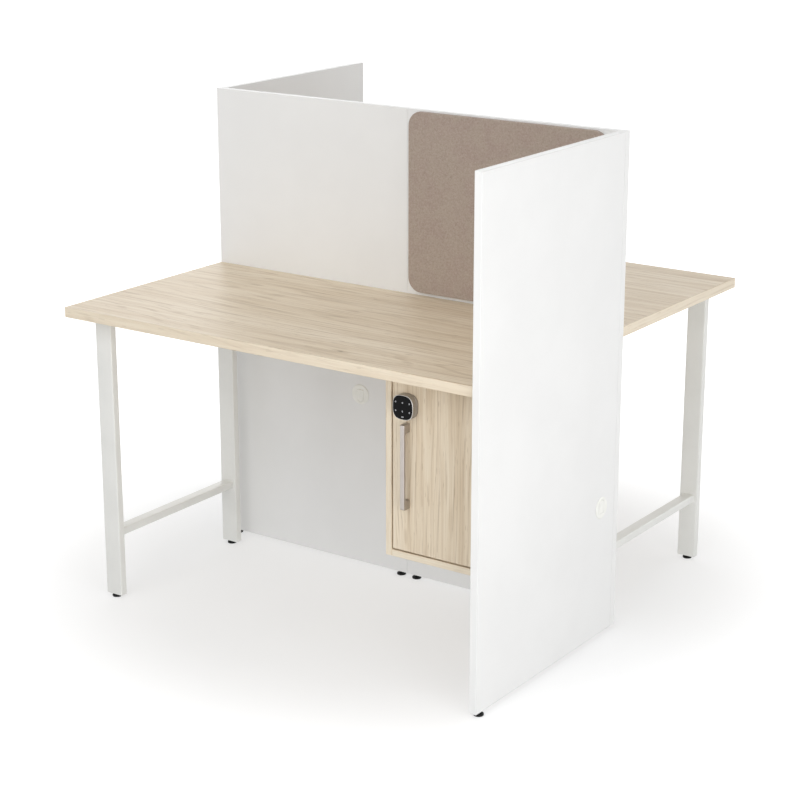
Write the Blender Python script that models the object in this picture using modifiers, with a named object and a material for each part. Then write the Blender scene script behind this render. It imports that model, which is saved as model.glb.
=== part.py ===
"""Double study carrel: two desks back to back on a full-height divider.

X runs along the divider, -Y is the front desk's side, +Z is up, and the origin is on the
floor under the middle.  The rear half is the front half turned by 180 degrees about Z.
"""

import math

import bmesh
import bpy
from mathutils import Matrix, Vector

# ---------------------------------------------------------------- driving dimensions (metres)
WIDTH = 1.200                # along the divider
PANEL_TOP = 1.220            # top of every white panel above the floor
PANEL_BOTTOM = 0.011         # underside of the white panels, carried on feet
BOARD = 0.019                # white melamine board
SIDE_PANEL_DEPTH = 0.602     # from the divider's face to the front edge
WORKTOP_TOP = 0.760
WORKTOP_THICKNESS = 0.025
WORKTOP_DEPTH = 0.592
LOCKER_BOARD = 0.016
LOCKER_BACK = 0.008
LOCKER_WIDTH = 0.300
LOCKER_HEIGHT = 0.450
LOCKER_FRONT = 0.502         # from the divider's mid plane to the door's front face
DOOR_GAP = 0.0035            # dark line round the inset door
LEG_BOTTOM = 0.008
FOOT_DIAMETER = 0.024
FOOT_DISC = 0.0052           # height of the foot's disc
FOOT_STEM = 0.0040           # radius
FOOT_STEM_HOLE = 0.0043
FOOT_STEM_LENGTH = 0.026     # of it inside the leg or panel
DIVIDER_FOOT_FROM_END = 0.030
DIVIDER_FOOT_FROM_SEAM = 0.024
SIDE_PANEL_FOOT_Y = -0.586

FIT = 0.0003                 # clearance between touching pieces
SEAM = 0.0003                # gap between the divider's two halves
EDGE_ROUND = 0.0008          # rounded edge of a board
DIVIDER_ROUND = 0.0003       # sharper, so that the divider's seam barely shows

# Worked out from the driving dimensions.
HALF_WIDTH = WIDTH / 2
DIVIDER_FACE = BOARD / 2
PANEL_HEIGHT = PANEL_TOP - PANEL_BOTTOM
WORKTOP_UNDERSIDE = WORKTOP_TOP - WORKTOP_THICKNESS
INNER_FACE = HALF_WIDTH - BOARD              # side panel's face towards the desk
LOCKER_LEFT = INNER_FACE - LOCKER_WIDTH
LOCKER_TOP = WORKTOP_UNDERSIDE - FIT
LOCKER_BOTTOM = LOCKER_TOP - LOCKER_HEIGHT
LOCKER_RIGHT = INNER_FACE - FIT
LOCKER_DEPTH = LOCKER_FRONT - DIVIDER_FACE - FIT
DOOR_LEFT = LOCKER_LEFT + LOCKER_BOARD + DOOR_GAP
DOOR_RIGHT = LOCKER_RIGHT - LOCKER_BOARD - DOOR_GAP
DOOR_BOTTOM = LOCKER_BOTTOM + LOCKER_BOARD + DOOR_GAP
DOOR_TOP = LOCKER_TOP - LOCKER_BOARD - DOOR_GAP
DOOR_FACE = -LOCKER_FRONT
DOOR_BACK = DOOR_FACE + LOCKER_BOARD

# Leg frame: rectangular tube, wide face to the front.
LEG_WIDTH = 0.050
LEG_DEPTH = 0.020
LEG_CENTRE_X = -0.533
OUTER_LEG_Y = -0.5325
INNER_LEG_Y = -0.0745
RAIL_WIDTH = 0.030
RAIL_HEIGHT = 0.020
CROSSBAR_Z = 0.1715
TUBE_WALL = 0.002
TUBE_ROUND = 0.0028
LEG_END_PLATE = 0.003

# Steel angle under the back edge of a worktop.
ANGLE_LEFT = -0.440
ANGLE_RIGHT = 0.240
ANGLE_LEG = 0.030
ANGLE_STEEL = 0.0025

# Pinboard.
PINBOARD_WIDTH = 0.550
PINBOARD_HEIGHT = 0.448
PINBOARD_THICKNESS = 0.009
PINBOARD_LEFT = 0.0077
PINBOARD_TOP = PANEL_TOP - 0.004
PINBOARD_CORNER = 0.036

# Cable grommets.
GROMMET_FLANGE = 0.0265      # radius
GROMMET_SLEEVE = 0.0227      # outer radius
GROMMET_BORE = 0.0205
GROMMET_PROUD = 0.0020
BOARD_HOLE = 0.0230
TONGUE_WIDTH = 0.0186
TONGUE_ABOVE = 0.0125        # straight end, from the grommet's centre
TONGUE_BELOW = 0.0194        # rounded end
TONGUE_THICKNESS = 0.0015
TONGUE_GAP = 0.0006
DESK_GROMMET = (-0.146, 0.471)        # X and Z on the divider
LOCKER_GROMMET = (-0.072, 0.335)      # Y and Z on the side panel

# Door furniture.
HARDWARE_X = LOCKER_LEFT + 0.0623
LOCK_Z = 0.6525
LOCK_WIDTH = 0.0543
LOCK_HEIGHT = 0.0573
LOCK_BASE_DEPTH = 0.0065
LOCK_GROOVE = 0.0012
KNOB_DEPTH = 0.0150
GLASS_RIM = 0.0011
GLASS_DEPTH = 0.0022
GLASS_PROUD = 0.0006
SPINDLE = 0.0045             # radius
CAM_LENGTH = 0.034
HANDLE_X = HARDWARE_X - 0.0016
HANDLE_BOTTOM = 0.4100
HANDLE_TOP = 0.6115
HANDLE_WIDTH = 0.0114
HANDLE_STANDOFF = 0.0228
HANDLE_BAR = 0.0055          # thickness
HANDLE_LEG = 0.0210          # height of a leg at the door
HANDLE_OUTER_BEND = 0.0045   # radius
HANDLE_INNER_BEND = 0.0060
HINGE_INSET = 0.070          # hinge centre from the door's top and bottom edges
CUP_RADIUS = 0.0175
CUP_DEPTH = 0.0115
CUP_FROM_EDGE = 0.0225

MATERIALS = {
    "white_melamine": ((0.80, 0.80, 0.79), 0.42, 0.0),
    "oak_laminate": ((0.66, 0.55, 0.40), 0.45, 0.0),
    "white_steel": ((0.70, 0.70, 0.67), 0.38, 0.0),
    "pinboard_felt": ((0.38, 0.30, 0.25), 0.95, 0.0),
    "black_plastic": ((0.015, 0.015, 0.016), 0.50, 0.0),
    "white_plastic": ((0.78, 0.78, 0.75), 0.35, 0.0),
    "satin_nickel": ((0.42, 0.39, 0.36), 0.32, 1.0),
    "keypad_glass": ((0.010, 0.010, 0.012), 0.08, 0.0),
    "zinc_steel": ((0.55, 0.56, 0.57), 0.35, 1.0),
}


# ---------------------------------------------------------------- scene and helper functions
def clear_scene():
    for item in list(bpy.data.objects):
        bpy.data.objects.remove(item, do_unlink=True)


def make_collection(name):
    collection = bpy.data.collections.new(name)
    bpy.context.scene.collection.children.link(collection)
    return collection


def make_material(name):
    colour, roughness, metallic = MATERIALS[name]
    material = bpy.data.materials.new(name)
    material.use_nodes = True
    shader = material.node_tree.nodes["Principled BSDF"]
    shader.inputs["Base Color"].default_value = (*colour, 1.0)
    shader.inputs["Roughness"].default_value = roughness
    shader.inputs["Metallic"].default_value = metallic
    return material


def add_object(name, data, parent, location=(0, 0, 0), material=None):
    """Link data as a piece, or as a cutter when it has no material."""
    item = bpy.data.objects.new(name, data)
    item.parent = parent
    item.location = location
    if material is None:
        cutters.objects.link(item)
        item.hide_render = True
        item.display_type = "WIRE"
    else:
        carrel.objects.link(item)
        data.materials.append(materials[material])
    return item


def box_mesh(name, size):
    mesh = bpy.data.meshes.new(name)
    shape = bmesh.new()
    bmesh.ops.create_cube(shape, size=1.0)
    bmesh.ops.scale(shape, vec=size, verts=shape.verts)
    shape.to_mesh(mesh)
    shape.free()
    return mesh


def cylinder_mesh(name, radius, length, axis="Z", segments=32):
    mesh = bpy.data.meshes.new(name)
    shape = bmesh.new()
    bmesh.ops.create_cone(shape, cap_ends=True, segments=segments,
                          radius1=radius, radius2=radius, depth=length)
    turn = {"X": Matrix.Rotation(math.pi / 2, 3, "Y"),
            "Y": Matrix.Rotation(math.pi / 2, 3, "X"),
            "Z": Matrix.Identity(3)}[axis]
    bmesh.ops.transform(shape, matrix=turn.to_4x4(), verts=shape.verts)
    shape.to_mesh(mesh)
    shape.free()
    return mesh


def bevel(item, width, segments=1):
    modifier = item.modifiers.new("rounded_edges", "BEVEL")
    modifier.width = width
    modifier.segments = segments
    modifier.limit_method = "ANGLE"
    modifier.angle_limit = math.radians(35)
    return modifier


def combine(item, other, operation):
    modifier = item.modifiers.new(operation.lower(), "BOOLEAN")
    modifier.operation = operation
    modifier.solver = "EXACT"
    modifier.object = other
    return modifier


def box_between(name, low, high, parent, material=None, edge=0.0):
    """A box piece or cutter from its low corner to its high corner."""
    low = Vector(low)
    high = Vector(high)
    item = add_object(name, box_mesh(name, high - low), parent, (low + high) / 2, material)
    if edge:
        bevel(item, edge)
    return item


def outline_mesh(name, points, thickness, round_edge=0.0):
    """A flat closed outline in XY, filled and given its thickness along Z."""
    curve = bpy.data.curves.new(name, "CURVE")
    curve.dimensions = "2D"
    curve.fill_mode = "BOTH"
    curve.extrude = thickness / 2 - round_edge
    curve.bevel_depth = round_edge
    curve.bevel_resolution = 0
    curve.offset = -round_edge
    spline = curve.splines.new("POLY")
    spline.points.add(len(points) - 1)
    for point, (x, y) in zip(spline.points, points):
        point.co = (x, y, 0, 1)
    spline.use_cyclic_u = True
    source = bpy.data.objects.new(name, curve)
    bpy.context.scene.collection.objects.link(source)
    graph = bpy.context.evaluated_depsgraph_get()
    mesh = bpy.data.meshes.new_from_object(source.evaluated_get(graph))
    bpy.data.objects.remove(source, do_unlink=True)
    shape = bmesh.new()
    shape.from_mesh(mesh)
    bmesh.ops.remove_doubles(shape, verts=shape.verts, dist=0.00001)
    bmesh.ops.recalc_face_normals(shape, faces=shape.faces)
    shape.to_mesh(mesh)
    shape.free()
    mesh.name = name
    return mesh


def arc(centre, radius, start, end, steps):
    """Points from start to end, in degrees counter-clockwise."""
    points = []
    for step in range(steps + 1):
        angle = math.radians(start + (end - start) * step / steps)
        points.append((centre[0] + radius * math.cos(angle), centre[1] + radius * math.sin(angle)))
    return points


def rounded_rectangle(width, height, radius, steps):
    points = []
    corners = ((1, 1, 0), (-1, 1, 90), (-1, -1, 180), (1, -1, 270))
    for side_x, side_y, start in corners:
        centre = (side_x * (width / 2 - radius), side_y * (height / 2 - radius))
        points += arc(centre, radius, start, start + 90, steps)
    return points


def squircle(width, height, steps=36, power=2.9):
    """Superellipse outline of the keypad lock."""
    points = []
    for step in range(steps):
        angle = 2 * math.pi * step / steps
        cosine = math.cos(angle)
        sine = math.sin(angle)
        points.append((math.copysign(abs(cosine) ** (2 / power), cosine) * width / 2,
                       math.copysign(abs(sine) ** (2 / power), sine) * height / 2))
    return points


def turned_object(name, profile, steps, parent, location, material=None, rotation=(0, 0, 0)):
    """Turn a profile of (radius, height) points about Z, from the axis round to the axis."""
    mesh = bpy.data.meshes.new(name)
    shape = bmesh.new()
    verts = [shape.verts.new((radius, 0, height)) for radius, height in profile]
    for first, second in zip(verts, verts[1:]):
        shape.edges.new((first, second))
    shape.to_mesh(mesh)
    shape.free()
    item = add_object(name, mesh, parent, location, material)
    item.rotation_euler = rotation
    screw = item.modifiers.new("turn", "SCREW")
    screw.steps = steps
    screw.render_steps = steps
    screw.use_merge_vertices = True
    screw.merge_threshold = 0.0001
    screw.use_smooth_shade = False
    return item


def drill(item, name, radius, length, location, axis, parent, segments=32):
    cutter = add_object(name, cylinder_mesh(name, radius, length, axis, segments), parent, location)
    combine(item, cutter, "DIFFERENCE")


# ---------------------------------------------------------------- white panels
def foot_socket(panel, name, x, y, parent):
    """Blind hole for a foot's stem in the lower edge of a panel."""
    depth = FOOT_STEM_LENGTH + 0.014
    drill(panel, name, FOOT_STEM_HOLE, 2 * depth, (x, y, PANEL_BOTTOM), "Z", parent, 16)


def divider_half(side, half, feet_x):
    """One half-width board of the divider, with the cable hole of its own desk."""
    name = "divider_panel_left" if side == "front" else "divider_panel_right"
    panel = box_between(name, (-HALF_WIDTH, -DIVIDER_FACE, PANEL_BOTTOM),
                        (-SEAM / 2, DIVIDER_FACE, PANEL_TOP), half, "white_melamine", DIVIDER_ROUND)
    x, z = DESK_GROMMET
    drill(panel, name + "_cable_hole", BOARD_HOLE, 3 * BOARD, (x, 0, z), "Y", half)
    for number, foot_x in enumerate(feet_x, start=1):
        foot_socket(panel, f"{name}_socket_{number}", foot_x, 0, half)
    return panel


def side_panel(side, half, foot_y):
    name = f"side_panel_{side}"
    panel = box_between(name, (INNER_FACE, -DIVIDER_FACE - SIDE_PANEL_DEPTH, PANEL_BOTTOM),
                        (HALF_WIDTH, -DIVIDER_FACE - FIT, PANEL_TOP), half,
                        "white_melamine", EDGE_ROUND)
    y, z = LOCKER_GROMMET
    drill(panel, name + "_cable_hole", BOARD_HOLE, 3 * BOARD, (HALF_WIDTH - BOARD / 2, y, z), "X", half)
    foot_socket(panel, name + "_socket", HALF_WIDTH - BOARD / 2, foot_y, half)
    return panel


def worktop(side, half):
    back = -DIVIDER_FACE - FIT
    return box_between(f"worktop_{side}", (-HALF_WIDTH, -DIVIDER_FACE - WORKTOP_DEPTH, WORKTOP_UNDERSIDE),
                       (INNER_FACE - FIT, back, WORKTOP_TOP), half, "oak_laminate", EDGE_ROUND)


def pinboard(side, half):
    name = f"pinboard_{side}"
    outline = rounded_rectangle(PINBOARD_WIDTH, PINBOARD_HEIGHT, PINBOARD_CORNER, 8)
    mesh = outline_mesh(name, outline, PINBOARD_THICKNESS, 0.0012)
    centre = (PINBOARD_LEFT + PINBOARD_WIDTH / 2,
              -DIVIDER_FACE - FIT - PINBOARD_THICKNESS / 2,
              PINBOARD_TOP - PINBOARD_HEIGHT / 2)
    item = add_object(name, mesh, half, centre, "pinboard_felt")
    item.rotation_euler = (math.pi / 2, 0, 0)
    return item


# ---------------------------------------------------------------- feet
def foot(name, x, y, body_bottom, half):
    """Levelling foot: a moulded disc on a stem that runs up into the leg or panel."""
    radius = FOOT_DIAMETER / 2
    stem_top = body_bottom + FOOT_STEM_LENGTH
    profile = [(0, stem_top), (FOOT_STEM, stem_top), (FOOT_STEM, FOOT_DISC + 0.0008),
               (radius - 0.0012, FOOT_DISC), (radius, FOOT_DISC - 0.0014), (radius, 0.0016),
               (radius - 0.0018, 0), (0, 0)]
    return turned_object(name, profile, 20, half, (x, y, 0), "black_plastic")


# ---------------------------------------------------------------- leg frame
def tube_length(name, low, high, axis, width, height, parent, material=None):
    """Rectangular tube stock with rounded corners, from low to high along an axis."""
    low = Vector(low)
    high = Vector(high)
    length = (high - low).length
    mesh = outline_mesh(name, rounded_rectangle(width, height, TUBE_ROUND, 2), length)
    item = add_object(name, mesh, parent, (low + high) / 2, material)
    if axis == "Y":
        item.rotation_euler = (math.pi / 2, 0, 0)
    return item


def leg_frame(side, half):
    """Two legs, the low crossbar and the top rail, welded into one hollow frame."""
    name = f"leg_frame_{side}"
    x = LEG_CENTRE_X
    top = WORKTOP_UNDERSIDE - FIT
    rail_z = top - RAIL_HEIGHT / 2
    frame = tube_length(name, (x, OUTER_LEG_Y, LEG_BOTTOM), (x, OUTER_LEG_Y, top), "Z",
                        LEG_WIDTH, LEG_DEPTH, half, "white_steel")
    inner = tube_length(name + "_inner_leg", (x, INNER_LEG_Y, LEG_BOTTOM), (x, INNER_LEG_Y, top),
                        "Z", LEG_WIDTH, LEG_DEPTH, half)
    combine(frame, inner, "UNION")
    for part, z in (("crossbar", CROSSBAR_Z), ("top_rail", rail_z)):
        rail = tube_length(f"{name}_{part}", (x, OUTER_LEG_Y, z), (x, INNER_LEG_Y, z), "Y",
                           RAIL_WIDTH, RAIL_HEIGHT, half)
        combine(frame, rail, "UNION")
    # The bore: legs are closed below by a plate with the foot's hole in it.
    inside_x = LEG_WIDTH / 2 - TUBE_WALL
    inside_y = LEG_DEPTH / 2 - TUBE_WALL
    for part, y in (("outer", OUTER_LEG_Y), ("inner", INNER_LEG_Y)):
        bore = box_between(f"{name}_{part}_bore", (x - inside_x, y - inside_y, LEG_BOTTOM + LEG_END_PLATE),
                           (x + inside_x, y + inside_y, top - TUBE_WALL), half)
        combine(frame, bore, "DIFFERENCE")
        drill(frame, f"{name}_{part}_foot_hole", FOOT_STEM_HOLE, 4 * LEG_END_PLATE,
              (x, y, LEG_BOTTOM), "Z", half, 16)
    inside_rail = RAIL_WIDTH / 2 - TUBE_WALL
    inside_z = RAIL_HEIGHT / 2 - TUBE_WALL
    for part, z in (("crossbar", CROSSBAR_Z), ("top_rail", rail_z - 0.0004)):
        bore = box_between(f"{name}_{part}_bore", (x - inside_rail, OUTER_LEG_Y, z - inside_z),
                           (x + inside_rail, INNER_LEG_Y, z + inside_z), half)
        combine(frame, bore, "DIFFERENCE")
    return frame


def worktop_rail(side, half):
    """Steel angle under the worktop's back edge, screwed to the divider."""
    name = f"worktop_rail_{side}"
    back = -DIVIDER_FACE - FIT
    top = WORKTOP_UNDERSIDE - FIT
    outline = [(0, 0), (ANGLE_LEG, 0), (ANGLE_LEG, -ANGLE_STEEL), (ANGLE_STEEL, -ANGLE_STEEL),
               (ANGLE_STEEL, -ANGLE_LEG), (0, -ANGLE_LEG)]
    mesh = outline_mesh(name, outline, ANGLE_RIGHT - ANGLE_LEFT)
    middle = (ANGLE_LEFT + ANGLE_RIGHT) / 2
    item = add_object(name, mesh, half, (middle, back, top), "zinc_steel")
    item.rotation_euler = Matrix(((0, 0, 1), (-1, 0, 0), (0, 1, 0))).to_euler()
    return item


# ---------------------------------------------------------------- cable grommets
def tongue_outline(grow):
    """U-shaped tongue: straight end up, round end down."""
    half_width = TONGUE_WIDTH / 2 + grow
    low = -TONGUE_BELOW - grow
    top = TONGUE_ABOVE + grow
    round_end = arc((0, low + half_width), half_width, 180, 360, 12)
    return [(half_width, top), (-half_width, top)] + round_end


def grommet(name, half, place, turn):
    """Ring with its tongue, on an empty whose +Z points out of the board's face."""
    holder = bpy.data.objects.new(name + "_place", None)
    carrel.objects.link(holder)
    holder.parent = half
    holder.location = place
    holder.rotation_euler = turn
    face = GROMMET_PROUD
    plate_back = face - 0.0022
    profile = [(0, face), (GROMMET_FLANGE - 0.0016, face), (GROMMET_FLANGE - 0.0004, face - 0.0007),
               (GROMMET_FLANGE, FIT + 0.0006), (GROMMET_FLANGE, FIT), (GROMMET_SLEEVE, FIT),
               (GROMMET_SLEEVE, -BOARD + 0.0010), (GROMMET_BORE, -BOARD + 0.0010),
               (GROMMET_BORE, plate_back), (0, plate_back)]
    ring = turned_object(name + "_ring", profile, 30, holder, (0, 0, 0), "white_plastic")
    slot_mesh = outline_mesh(name + "_slot", tongue_outline(TONGUE_GAP), 0.02)
    slot = add_object(name + "_slot", slot_mesh, holder)
    combine(ring, slot, "DIFFERENCE")
    # The tongue's origin is on its hinge line, along the back of its straight end.
    tongue_mesh = outline_mesh(name + "_tongue", tongue_outline(0), TONGUE_THICKNESS)
    centre_z = face - 0.0003 - TONGUE_THICKNESS / 2
    tongue_mesh.transform(Matrix.Translation((0, -TONGUE_ABOVE, TONGUE_THICKNESS / 2)))
    tongue = add_object(name + "_tongue", tongue_mesh, holder,
                        (0, TONGUE_ABOVE, centre_z - TONGUE_THICKNESS / 2), "white_plastic")
    return ring, tongue


# ---------------------------------------------------------------- locker
def locker_carcass(side, half):
    name = f"locker_{side}"
    front = -LOCKER_FRONT
    back = front + LOCKER_DEPTH
    left = LOCKER_LEFT
    right = LOCKER_RIGHT
    inside_left = left + LOCKER_BOARD
    inside_right = right - LOCKER_BOARD
    box_between(name + "_left_side", (left, front, LOCKER_BOTTOM), (inside_left, back, LOCKER_TOP),
                half, "oak_laminate", EDGE_ROUND)
    hinge_side = box_between(name + "_right_side", (inside_right, front, LOCKER_BOTTOM),
                             (right, back, LOCKER_TOP), half, "oak_laminate", EDGE_ROUND)
    y, z = LOCKER_GROMMET
    drill(hinge_side, name + "_cable_hole", BOARD_HOLE, 3 * LOCKER_BOARD, (right, y, z), "X", half)
    # The back stands between the sides, behind the bottom and the top.
    back_face = back - LOCKER_BACK
    for part, low in (("bottom", LOCKER_BOTTOM), ("top", LOCKER_TOP - LOCKER_BOARD)):
        box_between(f"{name}_{part}", (inside_left + FIT, front, low),
                    (inside_right - FIT, back_face - FIT, low + LOCKER_BOARD), half,
                    "oak_laminate", EDGE_ROUND)
    box_between(name + "_back", (inside_left + FIT, back_face, LOCKER_BOTTOM),
                (inside_right - FIT, back, LOCKER_TOP), half, "oak_laminate")


def locker_door(side, pivot):
    """Inset door and what it carries, under the empty on the hinge axis."""
    name = f"locker_{side}"
    origin = Vector((pivot.location.x, pivot.location.y, 0))

    def local(x, y, z):
        return Vector((x, y, z)) - origin

    door = box_between(name + "_door", local(DOOR_LEFT, DOOR_FACE, DOOR_BOTTOM),
                       local(DOOR_RIGHT, DOOR_BACK, DOOR_TOP), pivot, "oak_laminate", EDGE_ROUND)
    drill(door, name + "_spindle_hole", SPINDLE + 0.0015, 3 * LOCKER_BOARD,
          local(HARDWARE_X, DOOR_FACE, LOCK_Z), "Y", pivot, 24)
    cup_x = DOOR_RIGHT - CUP_FROM_EDGE
    for end, z in hinge_heights():
        pocket = name + f"_{end}_cup_pocket"
        depth = 2 * CUP_DEPTH + 2 * FIT
        drill(door, pocket, CUP_RADIUS + FIT, depth, local(cup_x, DOOR_BACK, z), "Y", pivot)
        hinge_cup(f"{name}_hinge_{end}_cup", pivot, local(cup_x, DOOR_BACK, z))
    handle(f"{name}_handle", pivot, local(HANDLE_X, DOOR_FACE, 0))
    lock(f"{name}_lock", pivot, local(HARDWARE_X, DOOR_FACE, LOCK_Z))


def hinge_heights():
    return (("bottom", DOOR_BOTTOM + HINGE_INSET), ("top", DOOR_TOP - HINGE_INSET))


def hinge_cup(name, pivot, place):
    """Pressed steel cup let into the door's back, with its screw flange."""
    wall = 0.0012
    flange = 0.0010
    profile = [(0, wall - CUP_DEPTH), (CUP_RADIUS - wall, wall - CUP_DEPTH), (CUP_RADIUS - wall, flange),
               (CUP_RADIUS + 0.0022, flange), (CUP_RADIUS + 0.0022, FIT), (CUP_RADIUS, FIT),
               (CUP_RADIUS, -CUP_DEPTH), (0, -CUP_DEPTH)]
    return turned_object(name, profile, 24, pivot, place, "zinc_steel", (-math.pi / 2, 0, 0))


def hinge_arm(name, half, z):
    """Mounting plate and arm on the locker's right side, reaching to the door's cup."""
    side_face = LOCKER_RIGHT - LOCKER_BOARD
    front = DOOR_BACK + 0.0028
    plate_front = DOOR_BACK + 0.028
    plate_length = 0.050
    plate_top = side_face - 0.0065
    arm_outer = side_face - 0.0160
    half_plate = 0.0090
    half_arm = 0.0055
    half_link = 0.0045
    arm = box_between(name, (arm_outer, front, z - half_arm),
                      (plate_top + 0.001, plate_front + 0.92 * plate_length, z + half_arm), half,
                      "zinc_steel", 0.0010)
    plate = box_between(name + "_plate", (plate_top, plate_front, z - half_plate),
                        (side_face - FIT, plate_front + plate_length, z + half_plate), half)
    combine(arm, plate, "UNION")
    # The link reaches from the arm's front end towards the cup in the door.
    link = box_between(name + "_link", (arm_outer - 0.017, front, z - half_link),
                       (arm_outer + 0.001, front + 0.006, z + half_link), half)
    combine(arm, link, "UNION")
    return arm


def handle(name, pivot, place):
    """Strap handle: a flat bar bent back to the door at both ends."""
    length = HANDLE_TOP - HANDLE_BOTTOM
    reach = HANDLE_STANDOFF
    outer = HANDLE_OUTER_BEND
    inner = HANDLE_INNER_BEND
    leg = HANDLE_LEG
    bar = reach - HANDLE_BAR
    outline = [(FIT, 0)]
    outline += arc((reach - outer, outer), outer, 270, 360, 5)
    outline += arc((reach - outer, length - outer), outer, 0, 90, 5)
    outline += [(FIT, length), (FIT, length - leg)]
    outline += arc((bar - inner, length - leg - inner), inner, 90, 0, 5)
    outline += arc((bar - inner, leg + inner), inner, 0, -90, 5)
    outline += [(FIT, leg)]
    mesh = outline_mesh(name, outline, HANDLE_WIDTH, 0.0006)
    item = add_object(name, mesh, pivot, (place.x, place.y, HANDLE_BOTTOM), "satin_nickel")
    item.rotation_euler = Matrix(((0, 0, 1), (-1, 0, 0), (0, 1, 0))).to_euler()
    return item


def lock(name, pivot, place):
    """Keypad lock: fixed base, turning knob with its glass face, spindle and cam."""
    facing = (math.pi / 2, 0, 0)
    base_mesh = outline_mesh(name + "_base", squircle(LOCK_WIDTH - 0.0012, LOCK_HEIGHT - 0.0012),
                             LOCK_BASE_DEPTH, 0.0008)
    base = add_object(name + "_base", base_mesh, pivot,
                      place + Vector((0, -FIT - LOCK_BASE_DEPTH / 2, 0)), "satin_nickel")
    base.rotation_euler = facing
    drill(base, name + "_base_hole", SPINDLE + 0.0010, 4 * LOCK_BASE_DEPTH, place, "Y", pivot, 24)

    # Everything below turns on the spindle.
    spindle = bpy.data.objects.new(name + "_spindle_axis", None)
    carrel.objects.link(spindle)
    spindle.parent = pivot
    spindle.location = place
    knob_back = FIT + LOCK_BASE_DEPTH + LOCK_GROOVE
    knob_mesh = outline_mesh(name + "_knob", squircle(LOCK_WIDTH, LOCK_HEIGHT), KNOB_DEPTH, 0.0008)
    knob = add_object(name + "_knob", knob_mesh, spindle,
                      (0, -knob_back - KNOB_DEPTH / 2, 0), "satin_nickel")
    knob.rotation_euler = facing
    cam_back = LOCKER_BOARD + 0.0060
    rod_length = knob_back + 0.0020 + cam_back - 0.0020
    rod = add_object(name + "_rod", cylinder_mesh(name + "_rod", SPINDLE, rod_length, "Y", 24), spindle,
                     (0, -knob_back - 0.0020 + rod_length / 2, 0))
    combine(knob, rod, "UNION")
    knob_face = knob_back + KNOB_DEPTH
    recess_depth = GLASS_DEPTH - GLASS_PROUD
    glass_width = LOCK_WIDTH - 2 * GLASS_RIM
    glass_height = LOCK_HEIGHT - 2 * GLASS_RIM
    recess_mesh = outline_mesh(name + "_recess", squircle(glass_width, glass_height), 2 * recess_depth)
    recess = add_object(name + "_recess", recess_mesh, spindle, (0, -knob_face, 0))
    recess.rotation_euler = facing
    combine(knob, recess, "DIFFERENCE")
    glass_mesh = outline_mesh(name + "_keypad", squircle(glass_width - 2 * FIT, glass_height - 2 * FIT),
                              GLASS_DEPTH, 0.0005)
    glass_y = -knob_face + recess_depth - FIT - GLASS_DEPTH / 2
    glass = add_object(name + "_keypad", glass_mesh, spindle, (0, glass_y, 0), "keypad_glass")
    glass.rotation_euler = facing

    # Cam plate behind the door with a blind hub on the spindle's end.
    end_radius = 0.0080
    cam_outline = arc((0, 0), 0.0085, 60, 300, 12)
    cam_outline += arc((CAM_LENGTH - end_radius, 0), end_radius, -90, 90, 8)
    cam_outline = [(-x, z) for x, z in reversed(cam_outline)]
    cam_mesh = outline_mesh(name + "_cam", cam_outline, 0.0030)
    cam_front = LOCKER_BOARD + 0.0008
    cam = add_object(name + "_cam", cam_mesh, spindle, (0, cam_front + 0.0015, 0), "zinc_steel")
    cam.rotation_euler = facing
    hub = add_object(name + "_hub", cylinder_mesh(name + "_hub", 0.0070, 0.0090, "Y", 24), spindle,
                     (0, cam_front + 0.0047, 0))
    combine(cam, hub, "UNION")
    bore = add_object(name + "_bore", cylinder_mesh(name + "_bore", SPINDLE + FIT, 0.0200, "Y", 24), spindle,
                      (0, cam_back + FIT - 0.0100, 0))
    combine(cam, bore, "DIFFERENCE")


# ---------------------------------------------------------------- assembly
def build_half(side, turn):
    """One desk and the panels, frame, locker and feet that go with it."""
    half = bpy.data.objects.new(side + "_half", None)
    carrel.objects.link(half)
    half.rotation_euler = (0, 0, turn)
    divider_feet = (-HALF_WIDTH + DIVIDER_FOOT_FROM_END, -DIVIDER_FOOT_FROM_SEAM)
    divider_half(side, half, divider_feet)
    side_panel(side, half, SIDE_PANEL_FOOT_Y)
    worktop(side, half)
    pinboard(side, half)
    leg_frame(side, half)
    worktop_rail(side, half)

    foot(f"foot_{side}_outer_leg", LEG_CENTRE_X, OUTER_LEG_Y, LEG_BOTTOM, half)
    foot(f"foot_{side}_inner_leg", LEG_CENTRE_X, INNER_LEG_Y, LEG_BOTTOM, half)
    for where, x in zip(("end", "middle"), divider_feet):
        foot(f"foot_{side}_divider_{where}", x, 0, PANEL_BOTTOM, half)
    foot(f"foot_{side}_side_panel", HALF_WIDTH - BOARD / 2, SIDE_PANEL_FOOT_Y, PANEL_BOTTOM, half)

    x, z = DESK_GROMMET
    grommet(f"grommet_{side}_desk", half, (x, -DIVIDER_FACE, z), (math.pi / 2, 0, 0))
    y, z = LOCKER_GROMMET
    # The side panel's grommet faces +X and its tongue points up.
    outward = Matrix(((0, 0, 1), (-1, 0, 0), (0, -1, 0))).to_euler()
    grommet(f"grommet_{side}_locker", half, (HALF_WIDTH, y, z), outward)

    locker_carcass(side, half)
    pivot = bpy.data.objects.new(f"locker_{side}_hinge_axis", None)
    carrel.objects.link(pivot)
    pivot.parent = half
    pivot.location = (DOOR_RIGHT + DOOR_GAP / 2, DOOR_FACE, 0)
    locker_door(side, pivot)
    for end, height in hinge_heights():
        hinge_arm(f"locker_{side}_hinge_{end}_arm", half, height)


clear_scene()
carrel = make_collection("study_carrel")
cutters = make_collection("cutters")
materials = {name: make_material(name) for name in MATERIALS}
build_half("front", 0.0)
build_half("rear", math.pi)
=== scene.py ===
"""Looks of the double study carrel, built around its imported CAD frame.

X runs along the divider, -Y is the front desk's side and +Z is up.  The rear half is the
front half turned by 180 degrees about Z, so every new piece is built in front-half
coordinates and turned for the rear.
"""

import math

import bmesh
import bpy
from mathutils import Matrix, Vector, noise


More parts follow.
